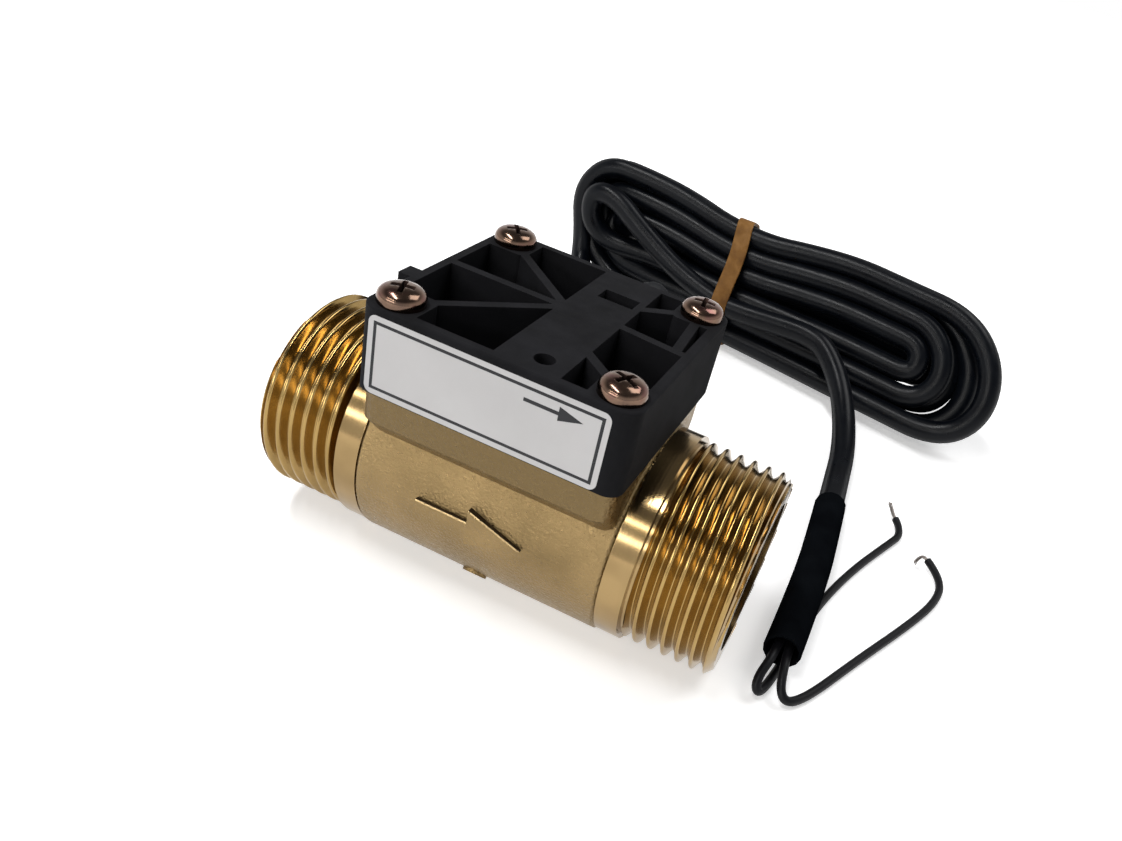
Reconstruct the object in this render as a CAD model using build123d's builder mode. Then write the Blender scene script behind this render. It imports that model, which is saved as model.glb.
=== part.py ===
"""Paddle flow switch for a G1 pipe run: brass body, ribbed plastic cover with a sealed reed
switch, a hinged paddle with a magnet, and a flying cable wound into a hank.

Millimetres. X runs along the pipe, +X the way the water flows. +Z is up, towards the cover.
The origin is under the middle of the body, on the surface that the switch stands on.
"""
from build123d import *
from math import atan2, cos, degrees, pi, radians, sin, sqrt, tan
import os

os.makedirs("parts", exist_ok=True)

# Pipe body
body_length = 79.0
thread_major = 33.249
thread_minor = 30.291
thread_length = 15.0
end_chamfer = 1.2
collar_width = 3.8
collar_radius = 17.1
relief_width = 0.6
relief_radius = 16.2
cast_radius = 17.3
cast_edge = 0.5
mouth_bore = 24.5
mouth_depth = 13.0
throat_bore = 18.5
axis_z = cast_radius
barrel_radius = thread_major / 2
thread_start = body_length / 2 - thread_length
cast_half = thread_start - collar_width

# Saddle under the cover
flange_rise = 17.0
saddle_inset = 0.7
saddle_lip = 5.0
saddle_foot_width = 30.0
saddle_foot_drop = 9.0
flange_z = axis_z + flange_rise

# Cast marks
arrow_shaft_length = 9.5
arrow_head_length = 9.0
arrow_shaft_width = 1.8
arrow_head_width = 6.2
arrow_tail_x = -9.6
arrow_rise = 0.45
arrow_relief = 0.55
gate_mark_x = -0.8
gate_mark_angle = 226.0
gate_mark_radius = 2.0
gate_mark_height = 0.45

# Cover
cover_length = 41.0
cover_width = 39.2
cover_height = 13.2
cover_corner = 2.5
cover_wall = 1.6
cover_floor = 3.5
rib_thickness = 1.5
bar_centre_x = 3.9
bar_width = 9.8
boss_size = 7.8
rib_anchor = 0.5
bar_overlap = 1.0
rim_round = 0.4
cover_top = flange_z + cover_height
floor_top = flange_z + cover_floor

# Upright key lug on the cover's upstream wall
key_lug_reach = 1.7
key_lug_width = 3.0
key_lug_height = 4.0
key_lug_from_front = 11.4

# Ribs of the cover, as distances from the middle or from a screw
rib_meeting_y = 1.2
front_rib_start = 7.2
back_rib_start = 6.5
side_rib_start_y = 2.0
side_rib_end_y = 0.8
corner_rib_side = 1.2
corner_rib_end_y = 1.0

# Screws
screw_inset_x = 4.0
screw_inset_y = 3.9
screw_radius = 1.75
screw_length = 18.0
screw_clearance = 0.2
screw_hole_spare = 0.7
head_radius = 3.4
head_height = 2.5
recess_span = 4.0
recess_slot = 0.9
recess_depth = 1.5
screw_pitch_x = cover_length - 2 * screw_inset_x
screw_pitch_y = cover_width - 2 * screw_inset_y

# Seal
seal_radius = 13.7
seal_section = 0.89
seal_squeeze = 0.02
seal_side_gap = 0.31

# Paddle and its hinge
pivot_x = -4.0
pivot_rise = 12.1
pin_radius = 1.0
pin_running = 0.05
hub_radius = 2.4
hub_width = 6.4
hub_gap = 0.2
lug_thickness = 2.0
vane_thickness = 2.0
vane_width = 12.0
vane_top_drop = 2.8
vane_length = 20.4
vane_rib = 1.6
tail_thickness = 2.6
tail_rest_gap = 0.3
tail_width = 6.4
magnet_radius = 2.1
magnet_height = 1.9
well_length = 19.0
well_width = 13.5
well_corner = 2.0
slot_start = -8.2
slot_end = 0.2
pivot_z = axis_z + pivot_rise

# Return spring
spring_radius = 2.65
spring_wire = 0.16
spring_turns = 4.5
spring_seat_depth = 2.0
spring_seat_gap = 0.49

# Reed switch in its tunnel
tunnel_width = 6.8
tunnel_height = 7.0
tunnel_roof = 1.6
tunnel_front_wall = 2.4
reed_rise = 1.7
reed_centre_y = -3.0
glass_length = 14.0
glass_radius = 1.1
glass_wall = 0.3
lead_radius = 0.25
lead_reach = 4.0
blade_width = 1.2
blade_thickness = 0.2
blade_overlap = 1.0
core_radius = 0.75

# Openings in the bar's roof
clamp_slot_offset = 0.8
clamp_slot_y = 10.2
clamp_slot_width = 3.4
clamp_slot_length = 5.8
vent_offset = 1.1
vent_y = -15.1
vent_radius = 1.5

# Label
label_length = 36.0
label_height = 12.0
label_corner = 1.2
label_thickness = 0.25
label_centre_x = -0.7
label_drop = 7.1

# Cable
cable_radius = 2.7
cable_start_y = 13.0
cable_rise = 8.0
sleeve_radius = 3.2
sleeve_share = 0.46
strand_radius = 0.35
strand_length = 4.5
band_thickness = 1.0
band_width = 4.5


def box_between(low, high):
    """A box from its low corner to its high corner, in the part that is open."""
    middle = [(a + b) / 2 for a, b in zip(low, high)]
    with Locations(tuple(middle)):
        Box(high[0] - low[0], high[1] - low[1], high[2] - low[2])


def save(piece, label):
    """Name a finished piece and write it."""
    piece.label = label
    export_step(piece, f"parts/{label}.step")


screw_spots = GridLocations(screw_pitch_x, screw_pitch_y, 2, 2)

# Brass body: turned barrels, cast middle, saddle and paddle well
with BuildPart() as brass_body:
    with BuildSketch(Plane.XZ) as turned:
        with BuildLine():
            Polyline(
                (0, axis_z),
                (0, axis_z + cast_radius),
                (cast_half - cast_edge, axis_z + cast_radius),
                (cast_half, axis_z + cast_radius - cast_edge),
                (cast_half, axis_z + collar_radius),
                (thread_start, axis_z + collar_radius),
                (thread_start, axis_z + relief_radius),
                (thread_start + relief_width, axis_z + relief_radius),
                (thread_start + relief_width, axis_z + barrel_radius),
                (body_length / 2 - end_chamfer, axis_z + barrel_radius),
                (body_length / 2, axis_z + barrel_radius - end_chamfer),
                (body_length / 2, axis_z),
                close=True,
            )
        make_face()
        mirror(about=Plane.YZ)
    revolve(axis=Axis((0, 0, axis_z), (1, 0, 0)))

    # The saddle carries the cover: a lip, then a foot that runs into the round body
    with BuildSketch(Plane.XY.offset(flange_z)) as lip:
        RectangleRounded(cover_length - 2 * saddle_inset, cover_width - 2 * saddle_inset, cover_corner)
    extrude(amount=-saddle_lip)
    with BuildSketch(Plane.XY.offset(flange_z - saddle_lip)):
        RectangleRounded(cover_length - 2 * saddle_inset, cover_width - 2 * saddle_inset, cover_corner)
    with BuildSketch(Plane.XY.offset(flange_z - saddle_foot_drop)):
        RectangleRounded(2 * cast_half - 1, saddle_foot_width, cover_corner)
    loft(ruled=True)
    with BuildSketch(Plane.XY.offset(flange_z)):
        Rectangle(body_length, cover_width)
    extrude(amount=cast_radius, mode=Mode.SUBTRACT)

    # Flow arrow, cast proud of the near side
    with BuildSketch(Plane.XZ.offset(cast_radius + arrow_relief)):
        with Locations((arrow_tail_x + arrow_shaft_length / 2, axis_z + arrow_rise)):
            Rectangle(arrow_shaft_length, arrow_shaft_width)
        with BuildLine():
            Polyline(
                (arrow_tail_x + arrow_shaft_length - 0.8, axis_z + arrow_rise - arrow_head_width / 2),
                (arrow_tail_x + arrow_shaft_length + arrow_head_length - 0.8, axis_z + arrow_rise),
                (arrow_tail_x + arrow_shaft_length - 0.8, axis_z + arrow_rise + arrow_head_width / 2),
                close=True,
            )
        make_face()
    extrude(amount=-3 * arrow_relief - 1)

    # Gate mark left by the casting, low on the near side
    gate_out = (0, cos(radians(gate_mark_angle)), sin(radians(gate_mark_angle)))
    gate_plane = Plane(
        origin=(gate_mark_x, gate_out[1] * cast_radius, axis_z + gate_out[2] * cast_radius),
        x_dir=(1, 0, 0),
        z_dir=gate_out,
    )
    with BuildSketch(gate_plane.offset(gate_mark_height)):
        Circle(gate_mark_radius)
    extrude(amount=-1.5)

    # Water way: two mouths and a narrower throat
    with BuildSketch(Plane.XZ):
        with BuildLine():
            mouth_x = body_length / 2 - mouth_depth
            throat_x = mouth_x - (mouth_bore - throat_bore) / 2
            Polyline(
                (0, axis_z),
                (0, axis_z + throat_bore / 2),
                (throat_x, axis_z + throat_bore / 2),
                (mouth_x, axis_z + mouth_bore / 2),
                (body_length / 2, axis_z + mouth_bore / 2),
                (body_length / 2, axis_z),
                close=True,
            )
        make_face()
        mirror(about=Plane.YZ)
    revolve(axis=Axis((0, 0, axis_z), (1, 0, 0)), mode=Mode.SUBTRACT)

    # Well for the paddle's hinge, with a ledge that the paddle's tail rests over
    tail_bottom = pivot_z - tail_thickness / 2
    with BuildSketch(Plane.XY.offset(flange_z)):
        RectangleRounded(well_length, well_width, well_corner)
    extrude(amount=tail_bottom - tail_rest_gap - flange_z, mode=Mode.SUBTRACT)
    with BuildSketch(Plane.XY.offset(axis_z)):
        with Locations(((slot_start + slot_end) / 2, 0)):
            Rectangle(slot_end - slot_start, well_width - 0.6)
    extrude(amount=flange_rise, mode=Mode.SUBTRACT)

    # Seal groove and the four screw holes
    groove_depth = 2 * seal_section + seal_squeeze
    with BuildSketch(Plane.XY.offset(flange_z)):
        Circle(seal_radius + seal_section + seal_side_gap)
        Circle(seal_radius - seal_section - seal_side_gap, mode=Mode.SUBTRACT)
    extrude(amount=-groove_depth, mode=Mode.SUBTRACT)
    with BuildSketch(Plane.XY.offset(flange_z)):
        with screw_spots:
            Circle(screw_radius)
    extrude(amount=-(screw_length - cover_height + screw_hole_spare), mode=Mode.SUBTRACT)

save(brass_body.part, "brass_body")

# Cover: an open-topped moulding with a bar for the reed switch and ribs out to the screws
tunnel_top = cover_top - tunnel_roof
tunnel_bottom = tunnel_top - tunnel_height
tunnel_front = -cover_width / 2 + tunnel_front_wall
tunnel_back = cover_width / 2 - cover_wall - 0.8
bar_left = bar_centre_x - bar_width / 2
bar_right = bar_centre_x + bar_width / 2
cable_z = flange_z + cable_rise
lug_inner = hub_width / 2 + hub_gap
lug_outer = lug_inner + lug_thickness
boss_x = screw_pitch_x / 2
boss_y = screw_pitch_y / 2
spring_seat_radius = spring_radius + spring_wire + spring_seat_gap
rib_hub = (bar_left + bar_overlap, rib_meeting_y)
rib_ends = [
    (-boss_x, -boss_y),
    (-cover_length / 2 + rib_anchor, rib_meeting_y),
    (-boss_x, boss_y),
]
rib_start_x = bar_right - bar_overlap
right_ribs = [
    ((rib_start_x, -boss_y + front_rib_start), (boss_x, -boss_y)),
    ((rib_start_x, boss_y - back_rib_start), (boss_x, boss_y)),
    ((rib_start_x, side_rib_start_y), (cover_length / 2 - rib_anchor, side_rib_end_y)),
    ((boss_x, boss_y), (boss_x + corner_rib_side, corner_rib_end_y)),
]

with BuildPart() as cover:
    with BuildSketch(Plane.XY.offset(flange_z)) as cover_outline:
        RectangleRounded(cover_length, cover_width, cover_corner)
    extrude(amount=cover_height)
    rim_edges = cover.faces().sort_by(Axis.Z)[-1].outer_wire().edges()
    fillet(rim_edges, rim_round)

    # Hollow from above, leaving the floor
    with BuildSketch(Plane.XY.offset(floor_top)):
        RectangleRounded(
            cover_length - 2 * cover_wall, cover_width - 2 * cover_wall, cover_corner - cover_wall / 2
        )
    extrude(amount=cover_height, mode=Mode.SUBTRACT)

    # Bar, bosses and ribs stand on the floor, flush with the rim
    with BuildSketch(Plane.XY.offset(floor_top - 0.5)):
        with Locations((bar_centre_x, 0)):
            Rectangle(bar_width, cover_width - cover_wall)
        with screw_spots:
            RectangleRounded(boss_size, boss_size, 1.5)
        for end in rib_ends:
            with BuildLine():
                rib_line = Line(rib_hub, end)
            trace(line_width=rib_thickness)
        for start, end in right_ribs:
            with BuildLine():
                rib_line = Line(start, end)
            trace(line_width=rib_thickness)
        RectangleRounded(
            cover_length - cover_wall,
            cover_width - cover_wall,
            cover_corner - cover_wall / 2,
            mode=Mode.INTERSECT,
        )
    extrude(amount=cover_top - floor_top + 0.5)

    # Key lug on the upstream wall
    key_lug_y = -cover_width / 2 + key_lug_from_front
    box_between(
        (-cover_length / 2 - key_lug_reach, key_lug_y, cover_top - key_lug_height),
        (-cover_length / 2 + cover_wall / 2, key_lug_y + key_lug_width, cover_top),
    )

    # Reed tunnel inside the bar, with the cable's hole, the clamp slot and the filling vent
    box_low = (bar_centre_x - tunnel_width / 2, tunnel_front, tunnel_bottom)
    box_high = (bar_centre_x + tunnel_width / 2, tunnel_back, tunnel_top)
    with Locations(tuple((a + b) / 2 for a, b in zip(box_low, box_high))):
        Box(*(b - a for a, b in zip(box_low, box_high)), mode=Mode.SUBTRACT)
    with BuildSketch(Plane.XZ.offset(-cover_width / 2 - 1)):
        with Locations((bar_centre_x, cable_z)):
            Circle(cable_radius)
    extrude(amount=cover_width / 2 - tunnel_back + 2, mode=Mode.SUBTRACT)
    with BuildSketch(Plane.XY.offset(cover_top + 1)):
        with Locations((bar_centre_x + clamp_slot_offset, clamp_slot_y)):
            Rectangle(clamp_slot_length, clamp_slot_width)
        with Locations((bar_centre_x + vent_offset, vent_y)):
            Circle(vent_radius)
    extrude(amount=-tunnel_roof - 1.5, mode=Mode.SUBTRACT)

    # Screw holes right through the bosses
    with BuildSketch(Plane.XY.offset(flange_z)):
        with screw_spots:
            Circle(screw_radius + screw_clearance)
    extrude(amount=cover_height, mode=Mode.SUBTRACT)

    # Underside: two lugs for the hinge pin and the return spring's seat
    for side in (-1, 1):
        with BuildSketch(Plane.XZ.offset(-side * (lug_inner + lug_outer) / 2)):
            with Locations((pivot_x, pivot_z)):
                Circle(hub_radius)
            with Locations((pivot_x, (pivot_z + flange_z + 0.5) / 2)):
                Rectangle(2 * hub_radius, flange_z + 0.5 - pivot_z)
        extrude(amount=lug_thickness / 2, both=True)
    with BuildSketch(Plane.XZ):
        with Locations((pivot_x, pivot_z)):
            Circle(pin_radius)
    extrude(amount=lug_outer + 1, both=True, mode=Mode.SUBTRACT)
    with BuildSketch(Plane.XY.offset(flange_z)):
        with Locations((bar_centre_x, 0)):
            Circle(spring_seat_radius)
    extrude(amount=spring_seat_depth, mode=Mode.SUBTRACT)

    # Shallow recess for the label
    label_z = cover_top - label_drop
    with BuildSketch(Plane.XZ.offset(cover_width / 2)):
        with Locations((label_centre_x, label_z)):
            RectangleRounded(label_length, label_height, label_corner)
    extrude(amount=-label_thickness, mode=Mode.SUBTRACT)

save(cover.part, "cover")

# Label, set flush into the front wall
with BuildPart() as label_plate:
    with BuildSketch(Plane.XZ.offset(cover_width / 2)):
        with Locations((label_centre_x, label_z)):
            RectangleRounded(label_length, label_height, label_corner)
    extrude(amount=-label_thickness)

save(label_plate.part, "label_plate")

# Cover screws: pan heads with a cross recess
with BuildPart() as pan_screw:
    with BuildSketch(Plane.XZ):
        with BuildLine():
            Polyline(
                (0, cover_top + head_height),
                (0, cover_top - screw_length),
                (screw_radius - 0.5, cover_top - screw_length),
                (screw_radius, cover_top - screw_length + 0.5),
                (screw_radius, cover_top),
                (head_radius, cover_top),
                (head_radius, cover_top + 0.9),
            )
            TangentArc(
                (0, cover_top + head_height), (head_radius, cover_top + 0.9), tangent=(1, 0)
            )
        make_face()
    revolve(axis=Axis.Z)
    with BuildSketch(Plane.XY.offset(cover_top + head_height)):
        Rectangle(recess_span, recess_slot)
        Rectangle(recess_slot, recess_span)
    extrude(amount=-recess_depth, mode=Mode.SUBTRACT)

with BuildPart() as cover_screws:
    with screw_spots:
        add(pan_screw.part)

save(cover_screws.part, "cover_screws")

# Seal ring in its groove
with BuildPart() as cover_seal:
    with BuildSketch(Plane.XZ):
        with Locations((seal_radius, flange_z - groove_depth / 2)):
            Circle(seal_section)
    revolve(axis=Axis.Z)

save(cover_seal.part, "cover_seal")

# Hinge pin, held in the cover's lugs
with BuildPart() as pivot_pin:
    with BuildSketch(Plane.XZ):
        with Locations((pivot_x, pivot_z)):
            Circle(pin_radius)
    extrude(amount=lug_outer, both=True)
    chamfer(pivot_pin.edges().filter_by(GeomType.CIRCLE), 0.2)

save(pivot_pin.part, "pivot_pin")

# Paddle: hub, vane in the throat and a tail that carries the magnet
tail_top = pivot_z + tail_thickness / 2
vane_end_z = pivot_z - vane_length
with BuildPart() as paddle:
    with BuildSketch(Plane.XZ):
        with Locations((pivot_x, pivot_z)):
            Circle(hub_radius)
    extrude(amount=hub_width / 2, both=True)
    with BuildSketch(Plane.YZ.offset(pivot_x)):
        with Locations((0, pivot_z - vane_top_drop / 2 - 1)):
            Rectangle(hub_width - 1.4, vane_top_drop + 2)
        with Locations((0, (pivot_z - vane_top_drop + vane_end_z + vane_width / 2) / 2)):
            Rectangle(vane_width, vane_length - vane_top_drop - vane_width / 2)
        with Locations((0, vane_end_z + vane_width / 2)):
            Circle(vane_width / 2)
    extrude(amount=vane_thickness / 2, both=True)
    with BuildSketch(Plane.XZ):
        with BuildLine():
            Polyline(
                (pivot_x, pivot_z),
                (pivot_x + hub_radius - 0.3, pivot_z - 1),
                (pivot_x + vane_thickness / 2 + 0.1, vane_end_z + 3),
                (pivot_x, vane_end_z + 3),
                close=True,
            )
        make_face()
    extrude(amount=vane_rib / 2, both=True)
    with BuildSketch(Plane.XY.offset(tail_bottom)):
        with Locations(((pivot_x + bar_centre_x) / 2, 0)):
            Rectangle(bar_centre_x - pivot_x, tail_width)
        with Locations((bar_centre_x, 0)):
            Circle(tail_width / 2)
    extrude(amount=tail_thickness)
    with BuildSketch(Plane.XY.offset(tail_top)):
        with Locations((bar_centre_x, 0)):
            Circle(magnet_radius)
    extrude(amount=-magnet_height, mode=Mode.SUBTRACT)
    with BuildSketch(Plane.XZ):
        with Locations((pivot_x, pivot_z)):
            Circle(pin_radius + pin_running)
    extrude(amount=hub_width, both=True, mode=Mode.SUBTRACT)

save(paddle.part, "paddle")

# Magnet pressed into the paddle's tail
with BuildPart() as paddle_magnet:
    with BuildSketch(Plane.XY.offset(tail_top)):
        with Locations((bar_centre_x, 0)):
            Circle(magnet_radius)
    extrude(amount=-magnet_height)

save(paddle_magnet.part, "paddle_magnet")

# Return spring between the tail and its seat in the cover
spring_low = tail_top + spring_wire + 0.02
spring_high = flange_z + spring_seat_depth - spring_wire - 0.02
with BuildPart() as return_spring:
    with BuildLine() as coil:
        Helix(
            pitch=(spring_high - spring_low) / spring_turns,
            height=spring_high - spring_low,
            radius=spring_radius,
            center=(bar_centre_x, 0, spring_low),
        )
    with BuildSketch(Plane(coil.line @ 0, z_dir=coil.line % 0)):
        Circle(spring_wire)
    sweep()

save(return_spring.part, "return_spring")

# Reed switch: a glass tube sealed round two overlapping blades
reed_z = tunnel_bottom + reed_rise
glass_front = reed_centre_y - glass_length / 2
glass_back = reed_centre_y + glass_length / 2
reed_axis = Axis((bar_centre_x, 0, reed_z), (0, 1, 0))
with BuildPart() as reed_glass:
    with BuildSketch(Plane.YZ.offset(bar_centre_x)):
        with BuildLine():
            Polyline(
                (glass_front, reed_z + lead_radius),
                (glass_front + 0.5, reed_z + glass_radius * 0.8),
                (glass_front + 1.4, reed_z + glass_radius),
                (glass_back - 1.4, reed_z + glass_radius),
                (glass_back - 0.5, reed_z + glass_radius * 0.8),
                (glass_back, reed_z + lead_radius),
                (glass_back - 1.6, reed_z + lead_radius),
                (glass_back - 2.2, reed_z + glass_radius - glass_wall),
                (glass_front + 2.2, reed_z + glass_radius - glass_wall),
                (glass_front + 1.6, reed_z + lead_radius),
                close=True,
            )
        make_face()
    revolve(axis=reed_axis)

save(reed_glass.part, "reed_glass")


def reed_blade(side):
    """One blade with its round lead. side is -1 for the front one, which lies lower, or 1."""
    seal_y = reed_centre_y + side * (glass_length / 2 - 2.6)
    tip_y = reed_centre_y - side * blade_overlap / 2
    lead_y = reed_centre_y + side * (glass_length / 2 + lead_reach)
    lift = side * (blade_thickness / 2 + 0.08)
    with BuildPart() as blade:
        with Locations((bar_centre_x, (seal_y + lead_y) / 2, reed_z)):
            Cylinder(lead_radius, abs(lead_y - seal_y), rotation=(90, 0, 0))
        with Locations((bar_centre_x, (seal_y + tip_y) / 2 + side * 0.2, reed_z + lift)):
            Box(blade_width, abs(tip_y - seal_y) + 0.4, blade_thickness)
    return blade.part


reed_blades = Compound(children=[reed_blade(-1), reed_blade(1)])
save(reed_blades, "reed_blades")

# Joints inside the bar: each core's end lies beside a reed lead
core_side = core_radius + lead_radius + 0.02
back_core_route = [
    (bar_centre_x - 1.0, cable_start_y, cable_z - 0.4),
    (bar_centre_x - 1.0, cable_start_y - 2.0, cable_z - 0.4),
    (bar_centre_x - core_side, cable_start_y - 5.0, reed_z + 0.6),
    (bar_centre_x - core_side, glass_back + 0.9, reed_z),
]
front_core_route = [
    (bar_centre_x + 1.0, cable_start_y, cable_z - 0.4),
    (bar_centre_x + 1.0, cable_start_y - 1.5, cable_z - 0.4),
    (bar_centre_x + 2.45, cable_start_y - 5, cable_z - 1.0),
    (bar_centre_x + 2.45, glass_front - 0.2, reed_z + 0.3),
    (bar_centre_x + core_side, glass_front - 2.2, reed_z),
    (bar_centre_x + core_side, glass_front - 4.0, reed_z),
]


def leg(a, b):
    """Length of the straight run from a to b."""
    return sqrt(sum((q - p) ** 2 for p, q in zip(a, b)))


def turn_at(a, b, c):
    """Angle in radians by which a route turns at its point b."""
    first = [q - p for p, q in zip(a, b)]
    second = [q - p for p, q in zip(b, c)]
    dot = sum(p * q for p, q in zip(first, second)) / (leg(a, b) * leg(b, c))
    return atan2(sqrt(max(0.0, 1 - dot * dot)), dot)


def bend_radii(points):
    """The largest even bend at each inner point of a route."""
    radii = []
    for a, b, c in zip(points, points[1:], points[2:]):
        radii.append(0.45 * min(leg(a, b), leg(b, c)) / tan(turn_at(a, b, c) / 2))
    return radii


def tube(points, radii, outer, inner=0.0):
    """A round tube or rod along straight runs joined by tangent arcs."""
    with BuildPart() as piece:
        with BuildLine() as path:
            if radii:
                FilletPolyline(*points, radius=radii)
            else:
                Line(*points)
        with BuildSketch(Plane(path.line @ 0, z_dir=path.line % 0)):
            Circle(outer)
            if inner:
                Circle(inner, mode=Mode.SUBTRACT)
        sweep()
    return piece.part


def report_cord(name, piece, points, radii, section):
    """Print a cord's bends, length and how its volume compares with section times length."""
    length = sum(leg(a, b) for a, b in zip(points, points[1:]))
    for (a, b, c), radius in zip(zip(points, points[1:], points[2:]), radii):
        half = turn_at(a, b, c) / 2
        length -= 2 * radius * (tan(half) - half)
    print(
        name,
        "length", round(length, 1),
        "bend radii", [round(r, 1) for r in radii],
        "volume over section times length", round(piece.volume / (section * length), 4),
    )


inner_cores = Compound(
    children=[
        tube(back_core_route, bend_radii(back_core_route), core_radius),
        tube(front_core_route, bend_radii(front_core_route), core_radius),
    ]
)
save(inner_cores, "inner_cores")

# Cable from the cover to the hank
lead_route = [
    (bar_centre_x, cable_start_y, cable_z),
    (bar_centre_x, 28, cable_z),
    (1.6, 43, 34.9),
    (-5, 58, 21),
    (-13, 73, 11),
    (-24, 88, 4),
    (-35, 102, 2.9),
    (-42.5, 113.5, 4.5),
]
lead_radii = bend_radii(lead_route)
cable_lead = tube(lead_route, lead_radii, cable_radius)
report_cord("cable_lead", cable_lead, lead_route, lead_radii, pi * cable_radius**2)
save(cable_lead, "cable_lead")

# Resin that fills the tunnel round the switch
with BuildPart() as reed_potting:
    box_between(box_low, box_high)
    add(cable_lead, mode=Mode.SUBTRACT)
    for wire in inner_cores.children:
        add(wire, mode=Mode.SUBTRACT)
    for blade in reed_blades.children:
        add(blade, mode=Mode.SUBTRACT)
    with Locations((bar_centre_x, reed_centre_y, reed_z)):
        Cylinder(glass_radius, glass_length, rotation=(90, 0, 0), mode=Mode.SUBTRACT)

save(reed_potting.part, "reed_potting")


# Hank: six loops stood on their long edge, leaning back and pinched by a band
hank_waist_x = -4.0
hank_left_x = -50.0
hank_right_x = 73.0
hank_waist_height = 33.0
hank_lobe_height = 36.5
hank_thickness = 11.6
hank_corner = 3.4
hank_lean_left = 6.0
hank_lean_right = 31.0
hank_lean_slope = (hank_lean_right - hank_lean_left) / 100.0


def hank_lean(x):
    """Lean of the hank from upright, in degrees, which grows towards its right end."""
    return min(hank_lean_right, hank_lean_left + max(0.0, x - hank_left_x) * hank_lean_slope)


def hank_height(x):
    """Height of the hank in its own plane: two lobes, a waist and round ends."""
    tip = min(x - hank_left_x, hank_right_x - x)
    lobe = hank_lobe_height / 2
    if tip < lobe:
        return 2 * sqrt(max(lobe**2 - (lobe - tip) ** 2, 16.0))
    away = min(1.0, abs(x - hank_waist_x) / 22.0)
    return hank_waist_height + (hank_lobe_height - hank_waist_height) * away**2


def resting_height(tall, thick, corner, lean):
    """Height of the middle of a leaning rounded rectangle that stands just off the surface."""
    return (tall / 2 - corner) * cos(lean) + (thick / 2 - corner) * sin(lean) + corner + 0.05


def hank_plane(x):
    """Plane across the hank at x: its x axis leans up the hank, its z axis runs along it."""
    lean = radians(hank_lean(x))
    centre_z = resting_height(hank_lobe_height, hank_thickness, hank_corner, lean)
    if x == hank_waist_x:
        around = 2 * band_thickness
        centre_z = resting_height(
            hank_waist_height + around, hank_thickness + around, hank_corner + band_thickness, lean
        )
    centre_y = 121.0 - 0.11 * (x - hank_left_x) - 0.0004 * (x - hank_left_x) ** 2
    return Plane(origin=(x, centre_y, centre_z), x_dir=(0, sin(lean), cos(lean)), z_dir=(1, 0, 0))


hank_stations = [hank_left_x, -47, -42, -33, -22, -10, 2, 16, 32, 52, 62, 69, hank_right_x]
waist_plane = hank_plane(hank_waist_x)
with BuildPart() as cable_hank:
    for station in hank_stations:
        station_plane = hank_plane(station)
        height = hank_height(station)
        if abs(station - hank_waist_x) < 7:
            station_plane = waist_plane.offset(station - hank_waist_x)
            height = hank_waist_height
        with BuildSketch(station_plane):
            RectangleRounded(height, hank_thickness, hank_corner)
    loft(ruled=True)

save(cable_hank.part, "cable_hank")

# Rubber band round the waist
with BuildPart() as hank_band:
    with BuildSketch(waist_plane.offset(-band_width / 2)):
        RectangleRounded(
            hank_waist_height + 2 * band_thickness,
            hank_thickness + 2 * band_thickness,
            hank_corner + band_thickness,
        )
        RectangleRounded(hank_waist_height, hank_thickness, hank_corner, mode=Mode.SUBTRACT)
    extrude(amount=band_width)

save(hank_band.part, "hank_band")

# Free end of the cable, out of the hank and along the standing surface
tail_route = [
    (30.5, 98.9, 14.4),
    (38.5, 91.0, 8.6),
    (43.9, 76.0, 3.6),
    (45.5, 57.5, 3.25),
    (46.8, 41.0, 3.8),
    (48.0, 22.0, 5.0),
    (48.0, 5.0, 5.0),
]
tail_radii = bend_radii(tail_route)
cable_tail = tube(tail_route, tail_radii, cable_radius)
report_cord("cable_tail", cable_tail, tail_route, tail_radii, pi * cable_radius**2)
save(cable_tail, "cable_tail")

# Shrink sleeve over the last of the cable, open at its straight-cut end
sleeve_start = tuple(a + (b - a) * sleeve_share for a, b in zip(tail_route[3], tail_route[4]))
sleeve_route = [sleeve_start] + tail_route[4:6] + [(48.0, 1.2, 5.0)]
tail_sleeve = tube(sleeve_route, tail_radii[3:5], sleeve_radius, cable_radius)
save(tail_sleeve, "tail_sleeve")

# The two cores: one folds back under the sleeve, one swings out to the right
left_core_route = [
    (47.1, 5.0, 5.3),
    (47.1, 0.0, 5.3),
    (45.9, -5.6, 3.0),
    (47.4, -6.2, 0.9),
    (49.2, 6.0, 0.76),
    (50.6, 20.0, 0.76),
    (54.4, 35.0, 0.76),
    (59.4, 48.5, 0.76),
    (62.0, 55.0, 0.9),
    (59.6, 58.2, 1.6),
]
right_core_route = [
    (48.9, 5.0, 4.8),
    (48.9, 0.0, 4.8),
    (50.4, -5.6, 1.6),
    (53.6, -3.4, 0.76),
    (60.3, 12.0, 0.76),
    (67.0, 26.5, 0.76),
    (71.2, 37.0, 0.9),
    (71.4, 44.0, 1.4),
    (67.8, 47.6, 2.0),
]


def bare_end(route):
    """The twisted strands that stand out of a core's end, along its last run."""
    a, b = route[-2], route[-1]
    along = [(q - p) / leg(a, b) for p, q in zip(a, b)]
    end = tuple(p + d * strand_length for p, d in zip(b, along))
    return tube([b, end], None, strand_radius)


left_core_radii = bend_radii(left_core_route)
left_core = tube(left_core_route, left_core_radii, core_radius)
report_cord("core_wire_left", left_core, left_core_route, left_core_radii, pi * core_radius**2)
save(left_core, "core_wire_left")
save(bare_end(left_core_route), "wire_strands_left")

right_core_radii = bend_radii(right_core_route)
right_core = tube(right_core_route, right_core_radii, core_radius)
report_cord("core_wire_right", right_core, right_core_route, right_core_radii, pi * core_radius**2)
save(right_core, "core_wire_right")
save(bare_end(right_core_route), "wire_strands_right")
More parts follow.
